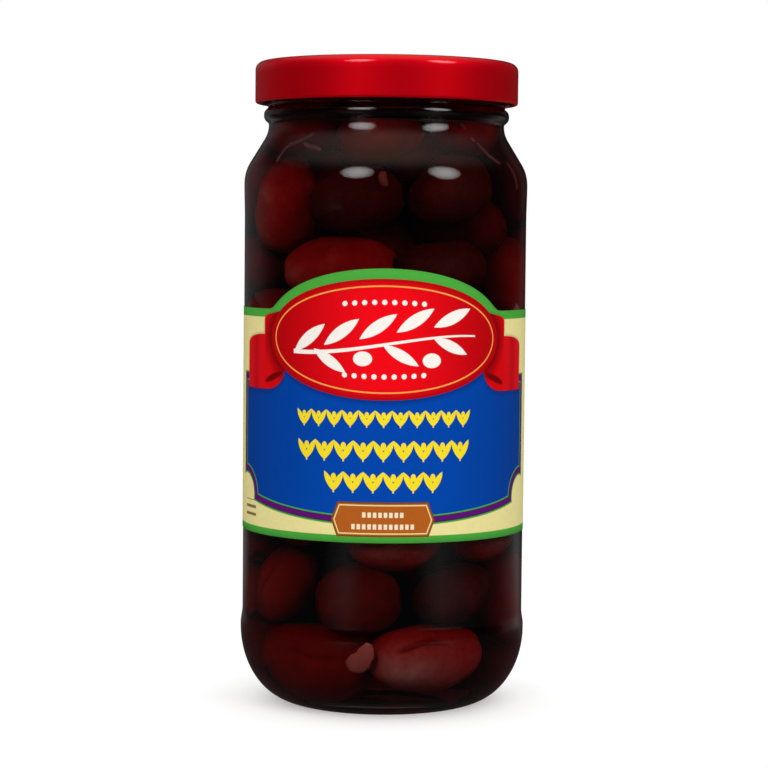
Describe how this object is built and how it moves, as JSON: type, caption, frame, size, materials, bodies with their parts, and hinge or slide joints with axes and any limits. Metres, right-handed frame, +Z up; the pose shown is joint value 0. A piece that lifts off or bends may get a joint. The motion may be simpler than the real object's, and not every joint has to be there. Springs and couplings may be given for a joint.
{
  "type": "jar of olives",
  "caption": "Clear glass jar of dark pitted olives in brine, with a red twist-off metal lid and a printed paper label with an arched top.",
  "frame": {"origin": "centre of the ring that the jar stands on, at the height of the surface it rests on", "axes": "+Z up along the jar's axis, the label's front faces -Y, +X is the label's right as it is read"},
  "size_m": [0.0718, 0.0718, 0.1607],
  "materials": {
    "clear_glass": "clear polished soda-lime glass",
    "red_lid": "glossy red lacquer on tinplate",
    "label_paper": "coated label paper with flat printed colours",
    "olive_flesh": "smooth wet olive skin, dark red-brown",
    "brine": "clear dark red-brown brine"
  },
  "bodies": {
    "root": {"glass_jar": "clear_glass", "lid": "red_lid", "label": "label_paper", "olives": "olive_flesh", "brine": "brine"}
  },
  "joints": []
}
